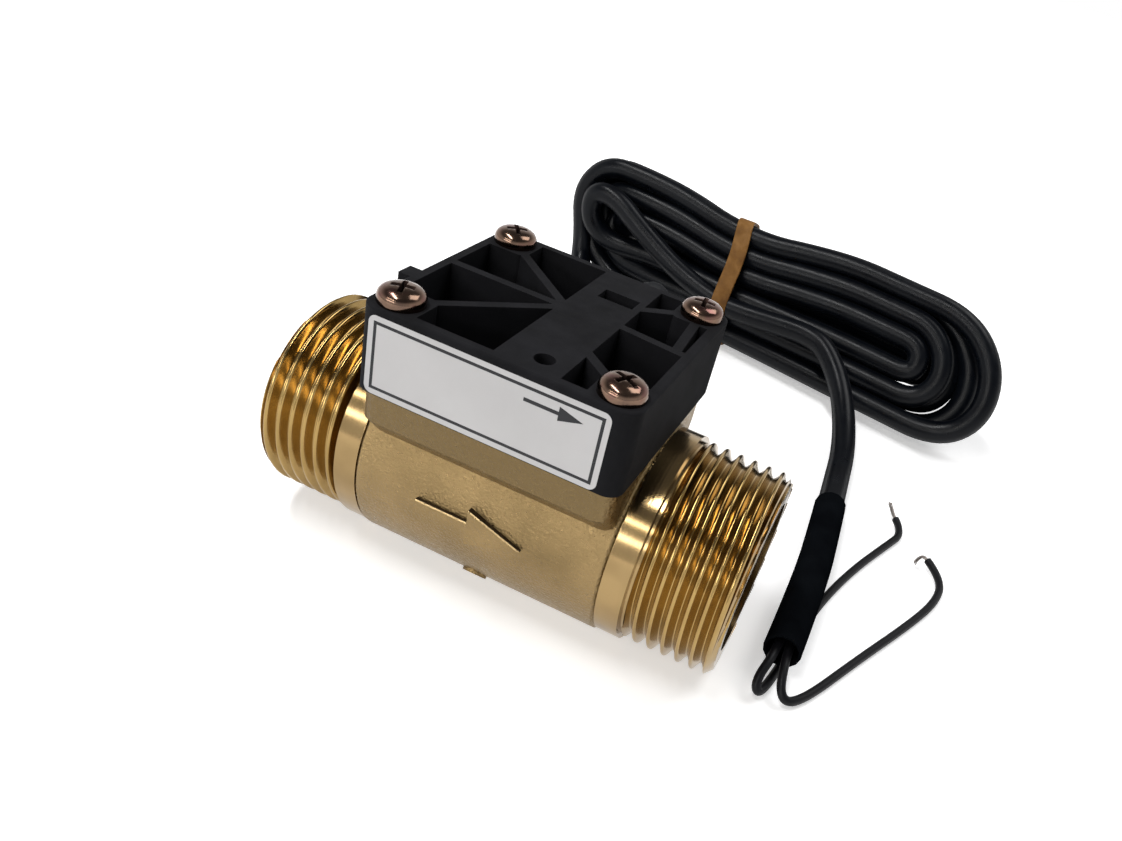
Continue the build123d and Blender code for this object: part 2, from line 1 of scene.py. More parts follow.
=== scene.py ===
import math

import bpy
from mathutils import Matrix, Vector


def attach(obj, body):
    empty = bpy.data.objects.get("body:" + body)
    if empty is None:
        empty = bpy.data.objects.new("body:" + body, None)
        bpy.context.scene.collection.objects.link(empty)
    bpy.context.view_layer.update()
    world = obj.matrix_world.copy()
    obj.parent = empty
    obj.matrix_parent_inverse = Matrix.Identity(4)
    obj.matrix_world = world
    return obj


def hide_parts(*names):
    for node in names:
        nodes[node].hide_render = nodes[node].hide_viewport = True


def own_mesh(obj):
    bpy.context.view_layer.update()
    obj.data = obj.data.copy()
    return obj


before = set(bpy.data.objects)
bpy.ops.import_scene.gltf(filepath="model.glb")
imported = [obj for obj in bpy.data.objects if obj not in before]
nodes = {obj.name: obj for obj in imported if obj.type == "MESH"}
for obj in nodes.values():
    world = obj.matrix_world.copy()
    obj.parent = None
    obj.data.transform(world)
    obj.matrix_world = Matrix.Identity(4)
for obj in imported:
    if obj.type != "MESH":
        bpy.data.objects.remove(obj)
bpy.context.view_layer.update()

# %% [markdown]
# # A paddle flow switch, dressed for its portrait
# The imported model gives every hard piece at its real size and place: a brass pipe body with two
# threaded ends, a black ribbed cover, four screws, and the paddle and reed switch inside. This
# lesson adds what a camera sees and a caliper doesn't: the cut threads, the sand-cast skin of the
# brass, the moulded grain of the cover, and the cable with its hank, band and bare wires.
# Lengths below are in millimetres, because the drawing is, and MM turns them into metres.

MM = 0.001
pipe_axis_z = 17.3
print("nodes:", ", ".join(sorted(nodes)))

# %% [markdown]
# ## The camera
# The photograph was taken close, with a wide lens, from above the front, nearer the outlet than the
# inlet. Its place was worked out from the pipe's two ends, the cover's corners and the thread's
# known diameter. A camera could be aimed at a target with a constraint, but the three directions
# are known, so they are written into its matrix. The lens shift only puts the picture's middle
# where the photograph has it.

# %% Camera at the photograph's viewpoint
photo_width, photo_height = 1122, 841
focal_pixels = 927.7
straight_ahead = (652.2, 450.1)
bpy.ops.object.camera_add(location=Vector((45.35, -114.47, 105.71)) * MM)
camera = bpy.context.object
camera.name = "photo_camera"
camera_right = Vector((0.9020, 0.3628, 0.2341))
camera_up = Vector((-0.3867, 0.4375, 0.8118))
camera_back = Vector((0.1921, -0.8228, 0.5349))
turn = Matrix((camera_right, camera_up, camera_back)).transposed()
camera.rotation_euler = turn.to_euler()
camera.data.sensor_width = 36.0
camera.data.lens = focal_pixels / photo_width * camera.data.sensor_width
camera.data.shift_x = (photo_width / 2 - straight_ahead[0]) / photo_width
camera.data.shift_y = (straight_ahead[1] - photo_height / 2) / photo_width
camera.data.clip_start = 0.01
camera.data.clip_end = 20.0
bpy.context.scene.camera = camera
bpy.context.scene.view_settings.view_transform = "Standard"
print("lens", round(camera.data.lens, 2), "mm")

# %% [markdown]
# ## Small helpers
# Operators work on whatever is selected, so each step starts from an empty selection. A finished
# piece has its object at the origin, unturned and unscaled, so that patterns on Object coordinates
# stay put. These few helpers keep that tidy.

# %% Selecting, applying and finishing
def only(piece):
    """Select one object and make it the active one."""
    bpy.ops.object.select_all(action="DESELECT")
    piece.select_set(True)
    bpy.context.view_layer.objects.active = piece


def settle(piece, name):
    """Name a new piece and write its place into its mesh."""
    only(piece)
    piece.name = name
    bpy.ops.object.transform_apply(location=True, rotation=True, scale=True)
    return piece


def apply_all(piece):
    """Apply the modifiers in their order."""
    only(piece)
    for modifier in list(piece.modifiers):
        bpy.ops.object.modifier_apply(modifier=modifier.name)


def smooth(piece, degrees=35.0):
    """Smooth shading with hard edges past an angle."""
    only(piece)
    bpy.ops.object.shade_smooth_by_angle(angle=math.radians(degrees))


def select_verts(piece, test):
    """In edit mode, select the vertices that pass a test on their place in millimetres."""
    bpy.ops.mesh.select_all(action="DESELECT")
    bpy.ops.object.mode_set(mode="OBJECT")
    count = 0
    for vert in piece.data.vertices:
        vert.select = bool(test(vert.co / MM))
        count += vert.select
    bpy.ops.object.mode_set(mode="EDIT")
    bpy.ops.mesh.select_mode(type="VERT")
    return count


def copy_of(node_name, name):
    """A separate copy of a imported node's mesh, with its loose triangles merged."""
    piece = nodes[node_name].copy()
    piece.data = nodes[node_name].data.copy()
    piece.name = name
    piece.parent = None
    bpy.context.collection.objects.link(piece)
    only(piece)
    bpy.ops.object.mode_set(mode="EDIT")
    bpy.ops.mesh.select_all(action="SELECT")
    bpy.ops.mesh.remove_doubles(threshold=0.002 * MM)
    bpy.ops.object.mode_set(mode="OBJECT")
    if piece.data.has_custom_normals:
        bpy.ops.mesh.customdata_custom_splitnormals_clear()
    return piece


print("helpers ready")

# %% [markdown]
# ## The cable
# One soft black cable, 5.4 mm thick, leaves the back of the cover, lies down behind it and is wound
# into a hank that stands on its edge, pinched by a rubber band. Its free end comes out of the front
# of the hank and runs along the table to the stripped wires. A cable is one thing, so it is one
# open NURBS spline from end to end, and only its order and points decide how it lies. The loose
# stretches repeat the route of the solid model.

# %% Route points of the loose stretches
lead_route = [
    (3.9, 13, 42.3),
    (3.9, 28, 42.3),
    (1.6, 43, 34.9),
    (-5, 58, 21),
    (-13, 73, 11),
    (-24, 88, 4),
    (-35, 102, 2.9),
    (-42.5, 113.5, 4.5),
]
tail_route = [
    (30.5, 98.9, 14.4),
    (38.5, 91.0, 8.6),
    (43.9, 76.0, 3.6),
    (45.5, 57.5, 3.25),
    (46.8, 41.0, 3.8),
    (48.0, 22.0, 5.0),
    (48.0, 5.0, 5.0),
]
print(len(lead_route), "points to the hank,", len(tail_route), "after it")

# %% [markdown]
# A hank is wound on itself: each turn runs along the top, round the right end, back along the
# bottom and round the left end. A loop in code places those points for every turn in the hank's own
# leaning surface: along it, up it and out of it. Turns are not alike, so each has its own reach.

# %% The hank's leaning surface
waist_x = 3.6
band_x = 0.5
lobe_reach = 20.6
left_slant, right_slant = 0.307, 0.135
left_tip = -50.0
tip_lean, full_lean = 6.0, 31.0
tallest_turn, strand_out = 14.85, 2.4
lowest_strand, waist_drop = 2.45, 1.94


def near_waist(along):
    """1 at the narrowest place, falling to 0 where the lobes have opened."""
    return max(0.0, 1.0 - (abs(along - waist_x) / lobe_reach) ** 2)


def hank_point(along, up, out):
    """A point of the hank: along it, up its leaning plane, and out towards the camera."""
    slant = left_slant if along < waist_x else right_slant
    slid = along - slant * up * min(1.0, abs(along - waist_x) / 20.0)
    past_tip = along - left_tip
    lean = math.radians(min(full_lean, tip_lean + max(0.0, past_tip) * 0.25))
    back_y = 121.0 - 0.11 * past_tip - 0.0004 * past_tip**2
    middle_z = tallest_turn * math.cos(lean) + strand_out * math.sin(lean) + lowest_strand
    middle_z -= waist_drop * near_waist(along)
    return (
        slid,
        back_y + up * math.sin(lean) - out * math.cos(lean),
        middle_z + up * math.cos(lean) + out * math.sin(lean),
    )


print("waist at", [round(v, 1) for v in hank_point(waist_x, 0, 0)])

# %% Points of every turn
# For each turn: half height in the lobes, half height at the waist, left and right turning
# centres, and how far out of the middle it lies.
turns = [
    (14.65, 12.5, -31.8, 54.9, 2.8),
    (14.2, 12.3, -31.4, 51.1, -2.6),
    (8.9, 7.5, -32.0, 51.4, -2.6),
    (9.2, 7.6, -31.6, 48.8, 2.8),
    (2.6, 2.6, -31.8, 51.6, -2.6),
    (3.8, 2.8, -31.2, 48.2, 2.8),
]
run_stations = [-26, -15, -4, 7, 19, 32, 44]
half_corner = math.radians(22.5)


def run_height(turn, along):
    """Half height of a turn at a place along the hank."""
    return turn[0] + (turn[1] - turn[0]) * near_waist(along)


def blend(a, b, part):
    """The value a part of the way from a to b."""
    return a + (b - a) * part


def round_end(turn, before, angles, centre_of):
    """Points round one end of the hank, from one turn's size to the next one's."""
    places = []
    for step, angle in enumerate(angles):
        part = (step + 0.5) / len(angles)
        reach = blend(before[0], turn[0], part) / math.cos(half_corner)
        along = blend(before[centre_of], turn[centre_of], part) + reach * math.cos(math.radians(angle))
        out = blend(before[4], turn[4], part)
        places.append(hank_point(along, reach * math.sin(math.radians(angle)), out))
    return places


hank_route = []
for number, turn in enumerate(turns):
    before = turns[number - 1] if number else turn
    left_end = round_end(turn, before, (-112.5, -157.5, 157.5, 112.5), 2)
    hank_route += left_end if number else left_end[1:]
    for along in run_stations:
        if along < turn[3]:
            hank_route.append(hank_point(along, run_height(turn, along), turn[4]))
    hank_route += round_end(turn, turn, (67.5, 22.5, -22.5, -67.5), 3)
    for along in reversed(run_stations):
        if along < turn[3]:
            hank_route.append(hank_point(along, -run_height(turn, along), turn[4]))
print(len(hank_route), "points in the turns")

# %% [markdown]
# The last run of the cable isn't wound in. It comes round the left end on top of the others,
# crosses them on a slant, slips under the band and lies in the groove between two lower strands
# until it bends away. Its few points are placed one by one, in the hank's own surface.

# %% The run on top of the turns
top_run = [
    (-37.0, -4.6, 4.6),
    (-42.6, -0.4, 6.6),
    (-40.6, 7.6, 7.9),
    (-33.5, 8.2, 8.3),
    (-26.0, 2.6, 8.2),
    (-14.0, -3.8, 8.0),
    (band_x, -5.9, 7.5),
    (9.0, -5.6, 7.5),
    (17.0, -5.3, 7.8),
    (24.0, -5.7, 8.1),
]
hank_route += [hank_point(*place) for place in top_run]
print("now", len(hank_route), "points")


# %% Laying a cord along its points
def lay_cord(name, route, diameter, caps=True):
    """A NURBS spline through a cord's world, thick as the cord."""
    curve = bpy.data.curves.new(name, "CURVE")
    curve.dimensions = "3D"
    spline = curve.splines.new("NURBS")
    spline.points.add(len(route) - 1)
    for point, place in zip(spline.points, route):
        point.co = (place[0] * MM, place[1] * MM, place[2] * MM, 1.0)
    spline.order_u = 3
    spline.use_endpoint_u = True
    spline.resolution_u = 8
    curve.bevel_depth = diameter / 2 * MM
    curve.bevel_resolution = 5
    curve.use_fill_caps = caps
    cord = bpy.data.objects.new(name, curve)
    bpy.context.collection.objects.link(cord)
    return cord


def spline_points(cord):
    """Points along a cord's own smooth line, in metres, read from it with no thickness."""
    bare = cord.data.copy()
    bare.bevel_depth = 0.0
    probe = bpy.data.objects.new("probe", bare)
    bpy.context.collection.objects.link(probe)
    line = bpy.data.meshes.new_from_object(probe)
    places = [vert.co.copy() for vert in line.vertices]
    bpy.data.objects.remove(probe)
    return places


def run_length(places):
    """Length along a row of points."""
    return sum((b - a).length for a, b in zip(places, places[1:]))


cable_thick = 5.4
cable = lay_cord("cable", lead_route + hank_route + tail_route, cable_thick)
cable_line = spline_points(cable)

# %% [markdown]
# ## The wires at the free end
# A shrink sleeve covers the last of the cable. Two thin wires come out of it: one folds back under
# the sleeve and the other swings out to the right, and both end in a few millimetres of bare
# strands. Each wire is a cord of its own.

# %% Core wires
left_core_route = [
    (47.1, 5.0, 5.3),
    (47.1, 0.0, 5.3),
    (45.9, -5.6, 3.0),
    (47.4, -6.2, 0.9),
    (49.2, 6.0, 0.76),
    (50.6, 20.0, 0.76),
    (54.4, 35.0, 0.76),
    (59.4, 48.5, 0.76),
    (62.0, 55.0, 0.9),
    (59.6, 58.2, 1.6),
]
right_core_route = [
    (48.9, 5.0, 4.8),
    (48.9, 0.0, 4.8),
    (50.4, -5.6, 1.6),
    (53.6, -3.4, 0.76),
    (60.3, 12.0, 0.76),
    (67.0, 26.5, 0.76),
    (71.2, 37.0, 0.9),
    (71.4, 44.0, 1.4),
    (67.8, 47.6, 2.0),
]
core_thick = 1.5
left_core = lay_cord("core_left", left_core_route, core_thick)
right_core = lay_cord("core_right", right_core_route, core_thick)
left_core_length = run_length(spline_points(left_core))
right_core_length = run_length(spline_points(right_core))
print("wires", round(left_core_length, 4), "and", round(right_core_length, 4), "m")

# %% [markdown]
# The sleeve is a thin open tube, so it starts as a cord with no end caps, is turned into a mesh and
# gets its wall from Solidify, which leaves both ends open and shows the wall where it is cut.

# %% Shrink sleeve
sleeve_route = [
    (46.1, 49.9, 3.5),
    (46.8, 41.0, 3.8),
    (48.0, 22.0, 5.0),
    (48.0, 1.2, 5.0),
]
sleeve_thick, sleeve_wall = 6.4, 0.45
sleeve = lay_cord("shrink_sleeve", sleeve_route, sleeve_thick, caps=False)
only(sleeve)
bpy.ops.object.convert(target="MESH")
sleeve = bpy.context.object
wall = sleeve.modifiers.new("wall", "SOLIDIFY")
wall.thickness = sleeve_wall * MM
wall.offset = -1.0
apply_all(sleeve)
smooth(sleeve, 50)
print("sleeve wall", sleeve_wall, "mm,", len(sleeve.data.polygons), "faces")


# %% Bare strands at the wires' ends
strand_length, strand_thick, strand_ring = 4.5, 0.22, 0.24
strand_steps = 6


def strand_bundle(name, route, curl):
    """Seven fine strands with a slight twist, past the end of a wire, that curl a given way."""
    end = Vector(route[-1]) * MM
    along = (Vector(route[-1]) - Vector(route[-2])).normalized()
    side = along.cross(Vector((0, 0, 1))).normalized()
    lift = side.cross(along).normalized()
    made = []
    for number in range(7):
        ring = 0.0 if number == 0 else strand_ring
        strand_route = []
        for step in range(strand_steps + 1):
            part = step / strand_steps
            twist = math.radians(60 * number + 26 * step)
            reach = (strand_length - 0.4 * (number % 3)) * part * (1.0 - 0.08 * step)
            splay = ring * (1.0 + 0.06 * step)
            offset = side * math.cos(twist) * splay + lift * math.sin(twist) * splay
            strand_route.append(end / MM + along * reach + offset + Vector(curl) * part**2)
        strand = lay_cord(f"{name}_{number}", strand_route, strand_thick)
        made.append(strand)
    bpy.ops.object.select_all(action="DESELECT")
    for strand in made:
        strand.select_set(True)
    bpy.context.view_layer.objects.active = made[0]
    bpy.ops.object.convert(target="MESH")
    bpy.ops.object.join()
    return settle(bpy.context.object, name)


left_strands = strand_bundle("bare_strands_left", left_core_route, (-0.8, 2.2, 0.4))
right_strands = strand_bundle("bare_strands_right", right_core_route, (-0.6, -3.0, -0.9))
print("strands:", len(left_strands.data.polygons), "faces each")

# %% [markdown]
# ## The rubber band
# A flat tan band pinches the hank at its waist. Stretched rubber takes the shortest way round what
# it holds, so its outline is the convex hull of the strands' circles. A circle of points is moved
# onto that outline, pulled out to the band's width and given its wall by Solidify, and a bevel
# takes the sharpness off its edges.

# %% The shortest way round the strands
def tightest_loop(points):
    """The convex hull of flat points, in order round it."""
    ordered = sorted(points)
    loop = []
    for sweep in (ordered, ordered[::-1]):
        side = []
        for point in sweep:
            while len(side) > 1:
                (ax, ay), (bx, by) = side[-2], side[-1]
                if (bx - ax) * (point[1] - ay) > (by - ay) * (point[0] - ax):
                    break
                side.pop()
            side.append(point)
        loop += side[:-1]
    return loop


def evenly(loop, count):
    """Points at equal steps round a closed loop."""
    closed = [Vector(place) for place in loop + loop[:1]]
    step = sum((b - a).length for a, b in zip(closed, closed[1:])) / count
    places, walked = [], 0.0
    for a, b in zip(closed, closed[1:]):
        side = (b - a).length
        while len(places) < count and len(places) * step <= walked + side:
            places.append(a.lerp(b, (len(places) * step - walked) / side))
        walked += side
    return places


held = [(sign * run_height(turn, band_x), turn[4]) for turn in turns for sign in (-1, 1)]
held += [(up, out) for along, up, out in top_run if along == band_x]
round_strand = 3.25
outline = []
for up, out in held:
    for angle in range(0, 360, 10):
        bend = math.radians(angle)
        outline.append((up + round_strand * math.cos(bend), out + round_strand * math.sin(bend)))
print(len(held), "strands in the band")

# %% Band round the waist
band_steps = 96
band_width, band_strips, band_thick = 4.2, 3, 0.9
bpy.ops.mesh.primitive_circle_add(vertices=band_steps, radius=1.0)
band = bpy.context.object
for vert, (up, out) in zip(band.data.vertices, evenly(tightest_loop(outline), band_steps)):
    sway = 0.35 * math.sin(up / 4.0)
    vert.co = Vector(hank_point(band_x - band_width / 2 + sway, up, out)) * MM
only(band)
bpy.ops.object.mode_set(mode="EDIT")
bpy.ops.mesh.select_all(action="SELECT")
strip = (band_width / band_strips * MM, 0, 0)
for _ in range(band_strips):
    bpy.ops.mesh.extrude_region_move(TRANSFORM_OT_translate={"value": strip})
bpy.ops.mesh.select_all(action="SELECT")
bpy.ops.mesh.normals_make_consistent(inside=False)
bpy.ops.object.mode_set(mode="OBJECT")
band_wall = band.modifiers.new("wall", "SOLIDIFY")
band_wall.thickness = band_thick * MM
band_wall.offset = 0.0
band_edge = band.modifiers.new("edge", "BEVEL")
band_edge.width = 0.22 * MM
band_edge.segments = 2
band_edge.limit_method = "ANGLE"
apply_all(band)
settle(band, "hank_rubber_band")
smooth(band, 40)
print("band", len(band.data.polygons), "faces")

# %% [markdown]
# ## The brass body
# The casting keeps the shape of its solid, but its two barrels are plain there. The threads could
# be painted as a bump, yet their steps show in the outline, so they are cut for real. The copy's
# barrels are turned down to below the thread, and one pitch of the thread's outline is wound round
# them by a Screw modifier. Its turns meet at the bottom of the groove, so merging them leaves one
# surface. Two cuts across give it square ends, which are then drawn in and joined by a bore.

# %% Turn the barrels down
thread_root = 15.145
crest = 16.6245
core_radius = 14.9
chamfer_start = crest - 1.2
chamfer_slope = 1.05
pipe_end, shoulder = 39.5, 25.1
casting = copy_of("brass_body", "brass_casting")


def on_barrel(place, radius):
    """Whether a place lies on a barrel's surface of that radius."""
    from_axis = math.hypot(place.y, place.z - pipe_axis_z)
    return abs(place.x) > 25.0 and abs(from_axis - radius) < 0.05


for found in (crest, chamfer_start):
    bpy.ops.object.mode_set(mode="EDIT")
    picked = select_verts(casting, lambda place, found=found: on_barrel(place, found))
    inwards = core_radius / found
    axis_place = (0, 0, pipe_axis_z * MM)
    bpy.ops.transform.resize(value=(1, inwards, inwards), center_override=axis_place)
    bpy.ops.object.mode_set(mode="OBJECT")
    print("radius", round(found, 3), "to", core_radius, "mm:", picked, "points")
smooth(casting, 30)

# %% One pitch of the thread's outline
pitch = 2.309
half = pitch / 2
thread_steps = 120
thread_outline = [
    (-half, thread_root),
    (-half + 0.10, thread_root + 0.03),
    (-half + 0.22, thread_root + 0.16),
    (-0.52, crest - 0.72),
    (-0.32, crest - 0.22),
    (-0.21, crest - 0.06),
    (-0.08, crest),
    (0.08, crest),
    (0.21, crest - 0.06),
    (0.32, crest - 0.22),
    (0.52, crest - 0.72),
    (half - 0.22, thread_root + 0.16),
    (half - 0.10, thread_root + 0.03),
    (half, thread_root),
]


def limit_radius(vert, allowed):
    """Bring a point in to a radius about the X axis, if it lies further out."""
    reach = math.hypot(vert.co.y, vert.co.z) / MM
    if reach > allowed:
        vert.co.y *= allowed / reach
        vert.co.z *= allowed / reach


def cut_thread(name, low, high):
    """A thread between two places along the pipe, closed by flat ends and a plain bore."""
    start = low - 1.5 * pitch
    mesh = bpy.data.meshes.new(name)
    points = [((start + x) * MM, 0, r * MM) for x, r in thread_outline]
    mesh.from_pydata(points, [(i, i + 1) for i in range(len(points) - 1)], [])
    thread = bpy.data.objects.new(name, mesh)
    bpy.context.collection.objects.link(thread)
    wind = thread.modifiers.new("wind", "SCREW")
    wind.axis = "X"
    wind.angle = 2 * math.pi
    wind.screw_offset = pitch * MM
    wind.iterations = math.ceil((high - start) / pitch) + 2
    wind.steps = thread_steps
    wind.render_steps = thread_steps
    apply_all(thread)
    only(thread)
    bpy.ops.object.mode_set(mode="EDIT")
    bpy.ops.mesh.select_all(action="SELECT")
    bpy.ops.mesh.remove_doubles(threshold=0.005 * MM)
    for place, outwards in ((low, -1), (high, 1)):
        bpy.ops.mesh.select_all(action="SELECT")
        cut_at, facing = (place * MM, 0, 0), (outwards, 0, 0)
        bpy.ops.mesh.bisect(plane_co=cut_at, plane_no=facing, clear_outer=True)
    bpy.ops.object.mode_set(mode="OBJECT")
    for vert in thread.data.vertices:
        limit_radius(vert, chamfer_start + (pipe_end - abs(vert.co.x / MM)) * chamfer_slope)
    bpy.ops.object.mode_set(mode="EDIT")
    bpy.ops.mesh.select_all(action="DESELECT")
    bpy.ops.mesh.select_mode(type="EDGE")
    bpy.ops.mesh.select_non_manifold(extend=False)
    bpy.ops.mesh.extrude_edges_move()
    bpy.ops.object.mode_set(mode="OBJECT")
    for vert in thread.data.vertices:
        if vert.select:
            limit_radius(vert, core_radius)
    bpy.ops.object.mode_set(mode="EDIT")
    bpy.ops.mesh.bridge_edge_loops()
    bpy.ops.mesh.select_all(action="SELECT")
    bpy.ops.mesh.normals_make_consistent(inside=False)
    bpy.ops.object.mode_set(mode="OBJECT")
    thread.location.z = pipe_axis_z * MM
    settle(thread, name)
    smooth(thread, 50)
    return thread


inlet_thread = cut_thread("inlet_thread", -pipe_end, -shoulder)
outlet_thread = cut_thread("outlet_thread", shoulder, pipe_end)
print("threads", len(inlet_thread.data.polygons), "faces each")

# %% [markdown]
# ## Cover screws
# The four screws are pan heads with a cross recess. One head is shaped from a cylinder by insets
# that step up into a dome, the recess is cut by a tapered cross, and a bevel softens every rim.
# The other three are copies turned a little, because no two screws stop at the same angle.

# %% One pan head
cover_top = 47.5
head_radius, rim_height = 3.38, 0.9
bpy.ops.mesh.primitive_cylinder_add(vertices=64, radius=head_radius * MM, depth=rim_height * MM)
head = bpy.context.object
head.location = (0, 0, rim_height / 2 * MM)
settle(head, "pan_head")
bpy.ops.object.mode_set(mode="EDIT")
dome = ((0.12, 0.42), (0.28, 0.42), (0.50, 0.34), (0.70, 0.22), (0.80, 0.1), (0.6, 0.02))
select_verts(head, lambda p: p.z > 0.85)
for inward, upward in dome:
    bpy.ops.mesh.select_mode(type="FACE")
    bpy.ops.mesh.inset(thickness=inward * MM, depth=upward * MM)
bpy.ops.object.mode_set(mode="OBJECT")
print("head top at", round(max(v.co.z for v in head.data.vertices) / MM, 2), "mm")


# %% Cut the cross recess
arm_length, arm_width, bar_height, bar_middle = 4.2, 0.92, 2.2, 2.1


def tapered_bar(size_x, size_y):
    """A bar that narrows downwards, one arm of the cross driver."""
    bpy.ops.mesh.primitive_cube_add(size=1.0)
    bar = bpy.context.object
    bar.scale = (size_x * MM, size_y * MM, bar_height * MM)
    bar.location = (0, 0, bar_middle * MM)
    settle(bar, "driver_bar")
    bpy.ops.object.mode_set(mode="EDIT")
    select_verts(bar, lambda p: p.z < 1.5)
    bpy.ops.transform.resize(value=(0.45, 0.75, 1), center_override=(0, 0, 0))
    bpy.ops.object.mode_set(mode="OBJECT")
    return bar


for size_x, size_y in ((arm_length, arm_width), (arm_width, arm_length)):
    bar = tapered_bar(size_x, size_y)
    cut = head.modifiers.new("recess", "BOOLEAN")
    cut.operation = "DIFFERENCE"
    cut.solver = "EXACT"
    cut.object = bar
    apply_all(head)
    bpy.data.objects.remove(bar)
rim = head.modifiers.new("rim", "BEVEL")
rim.width = 0.10 * MM
rim.segments = 2
rim.limit_method = "ANGLE"
rim.angle_limit = math.radians(38)
apply_all(head)
print("recess cut:", len(head.data.polygons), "faces")

# %% Add the shank
shank_radius, shank_length, shank_overlap = 1.74, 18, 0.01
bpy.ops.mesh.primitive_cylinder_add(vertices=32, radius=shank_radius * MM, depth=shank_length * MM)
shank = bpy.context.object
shank.location = (0, 0, (shank_overlap - shank_length / 2) * MM)
settle(shank, "shank")
only(head)
shank.select_set(True)
bpy.ops.object.join()
print("one screw:", len(head.data.polygons), "faces")

# %% Four screws in place
screw_x, screw_y = 16.5, 15.7
screw_places = [
    ("front_left", -1, -1, 20.0),
    ("front_right", 1, -1, 62.0),
    ("back_left", -1, 1, 35.0),
    ("back_right", 1, 1, 8.0),
]
screws = []
for place, side_x, side_y, degrees in screw_places:
    screw = head.copy()
    screw.data = head.data.copy()
    bpy.context.collection.objects.link(screw)
    screw.location = (side_x * screw_x * MM, side_y * screw_y * MM, cover_top * MM)
    screw.rotation_euler = (0, 0, math.radians(degrees))
    settle(screw, "cover_screw_" + place)
    smooth(screw, 35)
    screws.append(screw)
bpy.data.objects.remove(head)
print(len(screws), "screws")

# %% [markdown]
# ## The return spring
# The spring stands between the paddle's arm and the cover, and shortens when the paddle swings. A
# shape that only rides along would be cut through by the arm. The coil is a copy of its solid, and
# it rides along with the body.

# %% A copy of the coil
coil = copy_of("return_spring", "return_coil")
smooth(coil, 60)

# %% [markdown]
# ## Finishes
# Every finish is built from nodes on Object coordinates: a colour with some drift, a roughness
# that varies, and a bump at the real size of the grain. Coordinates are in metres, so a noise
# scale of 1000 repeats about once a millimetre.


# %% Helpers for finishes
def finish(name):
    """A new material with its node tree and its surface shader."""
    material = bpy.data.materials.new(name)
    material.use_nodes = True
    tree = material.node_tree
    return material, tree, tree.nodes["Principled BSDF"]


def place_node(tree):
    """The Object coordinates of a finish."""
    for node in tree.nodes:
        if node.type == "TEX_COORD":
            return node.outputs["Object"]
    return tree.nodes.new("ShaderNodeTexCoord").outputs["Object"]


def grain(tree, scale, detail, stretch=None):
    """A noise at a scale per metre, stretched along an axis if asked."""
    noise = tree.nodes.new("ShaderNodeTexNoise")
    noise.inputs["Scale"].default_value = scale
    noise.inputs["Detail"].default_value = detail
    noise.inputs["Roughness"].default_value = 0.55
    source = place_node(tree)
    if stretch:
        mapping = tree.nodes.new("ShaderNodeMapping")
        mapping.inputs["Scale"].default_value = stretch
        tree.links.new(source, mapping.inputs["Vector"])
        source = mapping.outputs["Vector"]
    tree.links.new(source, noise.inputs["Vector"])
    return noise.outputs["Fac"]


def spread(tree, value, low, high, from_low=0.3, from_high=0.7):
    """Map a value from one range onto another, and no further; a noise lies in 0.3 to 0.7."""
    node = tree.nodes.new("ShaderNodeMapRange")
    node.inputs["From Min"].default_value = from_low
    node.inputs["From Max"].default_value = from_high
    node.inputs["To Min"].default_value = low
    node.inputs["To Max"].default_value = high
    tree.links.new(value, node.inputs["Value"])
    return node.outputs["Result"]


def tint(tree, value, colours):
    """A ramp of colours over a value: pairs of place and colour."""
    ramp = tree.nodes.new("ShaderNodeValToRGB")
    band_of = ramp.color_ramp
    while len(band_of.elements) < len(colours):
        band_of.elements.new(0.5)
    for element, (place, colour) in zip(band_of.elements, colours):
        element.position = place
        element.color = (*colour, 1.0)
    tree.links.new(value, ramp.inputs["Fac"])
    return ramp.outputs["Color"]


def bumps(tree, shader, layers):
    """Chain bumps: each layer is a height, its depth in millimetres and its strength."""
    below = None
    for height, depth, strength in layers:
        node = tree.nodes.new("ShaderNodeBump")
        node.inputs["Distance"].default_value = depth * MM
        node.inputs["Strength"].default_value = strength
        tree.links.new(height, node.inputs["Height"])
        if below:
            tree.links.new(below, node.inputs["Normal"])
        below = node.outputs["Normal"]
    tree.links.new(below, shader.inputs["Normal"])


def axis_value(tree, axis):
    """One coordinate of the place, in metres."""
    split = tree.nodes.new("ShaderNodeSeparateXYZ")
    tree.links.new(place_node(tree), split.inputs["Vector"])
    return split.outputs[axis]


def sum_of(tree, operation, a, b=None, c=None):
    """A Math node on values or sockets."""
    node = tree.nodes.new("ShaderNodeMath")
    node.operation = operation
    for slot, value in zip(node.inputs, (a, b, c)):
        if value is None:
            continue
        if isinstance(value, (int, float)):
            slot.default_value = value
        else:
            tree.links.new(value, slot)
    return node.outputs["Value"]


def mixed(tree, factor, a, b):
    """Mix two colours by a factor."""
    node = tree.nodes.new("ShaderNodeMix")
    node.data_type = "RGBA"
    tree.links.new(factor, node.inputs["Factor"])
    for slot, value in ((6, a), (7, b)):
        if isinstance(value, tuple):
            node.inputs[slot].default_value = (*value, 1.0)
        else:
            tree.links.new(value, node.inputs[slot])
    return node.outputs[2]


def skin(tree, shader, colour, roughness):
    """Link a colour and a roughness to the shader."""
    tree.links.new(colour, shader.inputs["Base Color"])
    tree.links.new(roughness, shader.inputs["Roughness"])


def dress(piece, material):
    """Give a piece one material in every slot."""
    if not piece.data.materials:
        piece.data.materials.append(material)
    for number in range(len(piece.data.materials)):
        piece.data.materials[number] = material


print("finish helpers ready")
